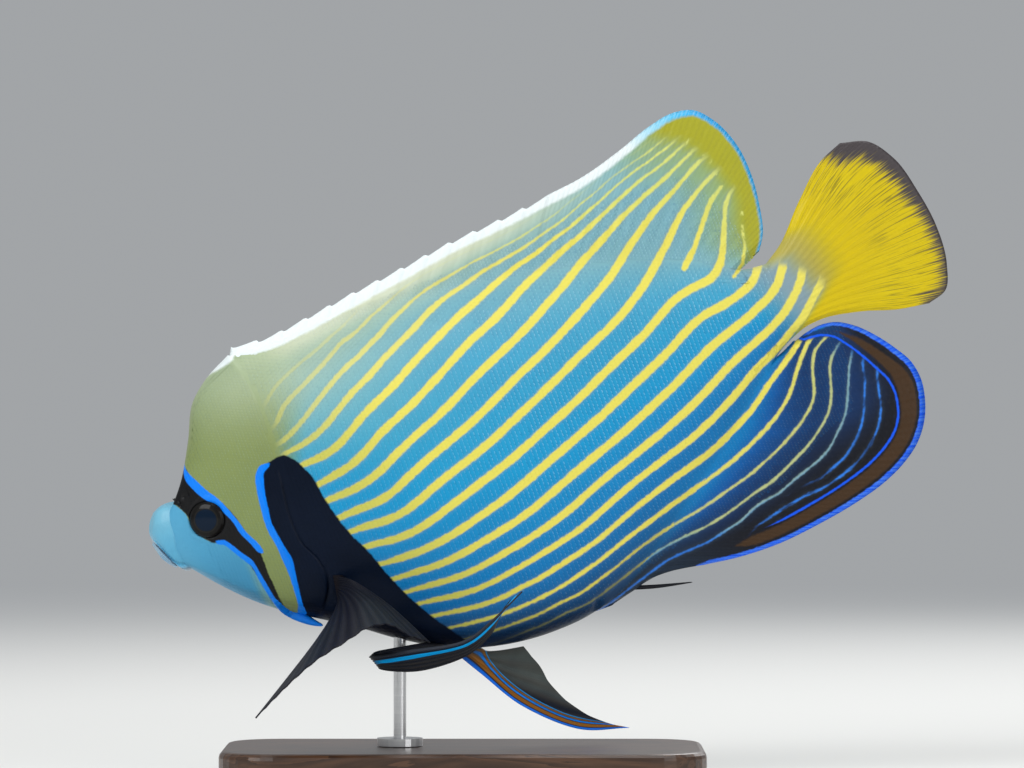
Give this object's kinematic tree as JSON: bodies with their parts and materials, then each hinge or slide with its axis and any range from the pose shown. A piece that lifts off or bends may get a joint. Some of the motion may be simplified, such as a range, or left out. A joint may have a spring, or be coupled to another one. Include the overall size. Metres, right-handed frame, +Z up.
{
  "type": "emperor angelfish model on display stand",
  "caption": "Life-size still model of an emperor angelfish, head tilted down and fins spread, held by one rod over a flat display base.",
  "frame": {"origin": "middle of the underside of the whole model's box, at the height of the stand's underside", "axes": "+Z up, the fish faces -X with its head tilted down, and its left side faces -Y"},
  "size_m": [0.3156, 0.1192, 0.265],
  "materials": {
    "skin": "painted scales, blue with yellow stripes, satin gloss",
    "lips": "painted pale blue-grey, satin",
    "eyes": "high gloss, dark",
    "tail_membrane": "ribbed thin membrane, yellow",
    "paired_fin_membrane": "ribbed thin membrane, near black with blue lines",
    "stand_base": "dark stained hardwood, satin",
    "stand_metal": "brushed steel"
  },
  "bodies": {
    "root": {"head": "skin", "upper_lip": "lips", "lower_lip": "lips", "eye_left": "eyes", "eye_right": "eyes", "torso": "skin", "tail_stalk": "skin", "caudal_fin": "tail_membrane", "dorsal_fin_front": "skin", "dorsal_fin_rear": "skin", "anal_fin_front": "skin", "anal_fin_rear": "skin", "pectoral_fin_left": "paired_fin_membrane", "pectoral_fin_right": "paired_fin_membrane", "pelvic_fin_left": "paired_fin_membrane", "pelvic_fin_right": "paired_fin_membrane", "stand_base": "stand_base", "stand_rod": "stand_metal"}
  },
  "joints": []
}
